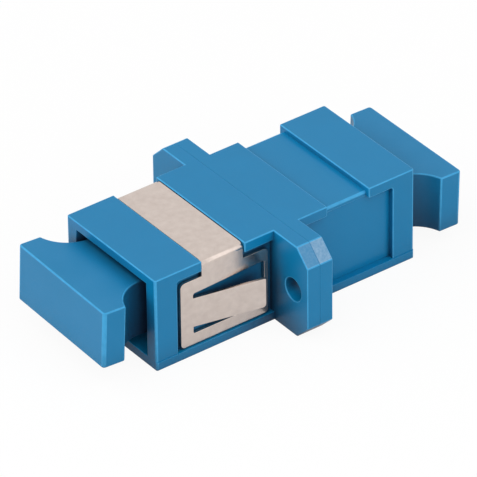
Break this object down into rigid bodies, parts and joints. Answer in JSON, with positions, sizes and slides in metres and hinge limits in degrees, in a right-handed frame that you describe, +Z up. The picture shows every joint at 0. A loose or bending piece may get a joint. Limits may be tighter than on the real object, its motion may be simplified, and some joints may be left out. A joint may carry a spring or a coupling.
{
  "type": "sc fibre adapter",
  "caption": "Panel-mount fibre coupler with screw ears at mid length, a folded steel snap clip round the front half, latch hooks and a split sleeve inside, and a pull-off dust cap in each port.",
  "frame": {"origin": "on the optical axis, in the weld plane between the two housing halves at the middle of the flange", "axes": "+X along the optical axis from the clip side towards the rear port, +Y across the body through an ear hole, +Z up from the flat base"},
  "size_m": [0.038, 0.022, 0.0092],
  "materials": {
    "housing_plastic": "satin moulded polyester, mid blue",
    "insert_plastic": "satin moulded nylon, mid blue",
    "sleeve_ceramic": "ground and polished zirconia, white",
    "clip_steel": "fine rolled stainless spring steel",
    "cap_plastic": "satin moulded soft plastic, mid blue"
  },
  "bodies": {
    "adapter": {"front_housing": "housing_plastic", "rear_housing": "housing_plastic", "front_latch_insert": "insert_plastic", "rear_latch_insert": "insert_plastic", "panel_clip": "clip_steel"},
    "sleeve": {"alignment_sleeve": "sleeve_ceramic"},
    "front_cap": {"front_dust_cap": "cap_plastic"},
    "rear_cap": {"rear_dust_cap": "cap_plastic"}
  },
  "joints": [
    {"name": "front_cap_pull", "type": "slide", "parent": "adapter", "child": "front_cap", "axis": [-1, 0, 0], "range_m": [0, 0.014]},
    {"name": "rear_cap_pull", "type": "slide", "parent": "adapter", "child": "rear_cap", "axis": [1, 0, 0], "range_m": [0, 0.014]},
    {"name": "sleeve_float", "type": "slide", "parent": "adapter", "child": "sleeve", "axis": [1, 0, 0], "range_m": [-0.0002, 0.0002]}
  ]
}
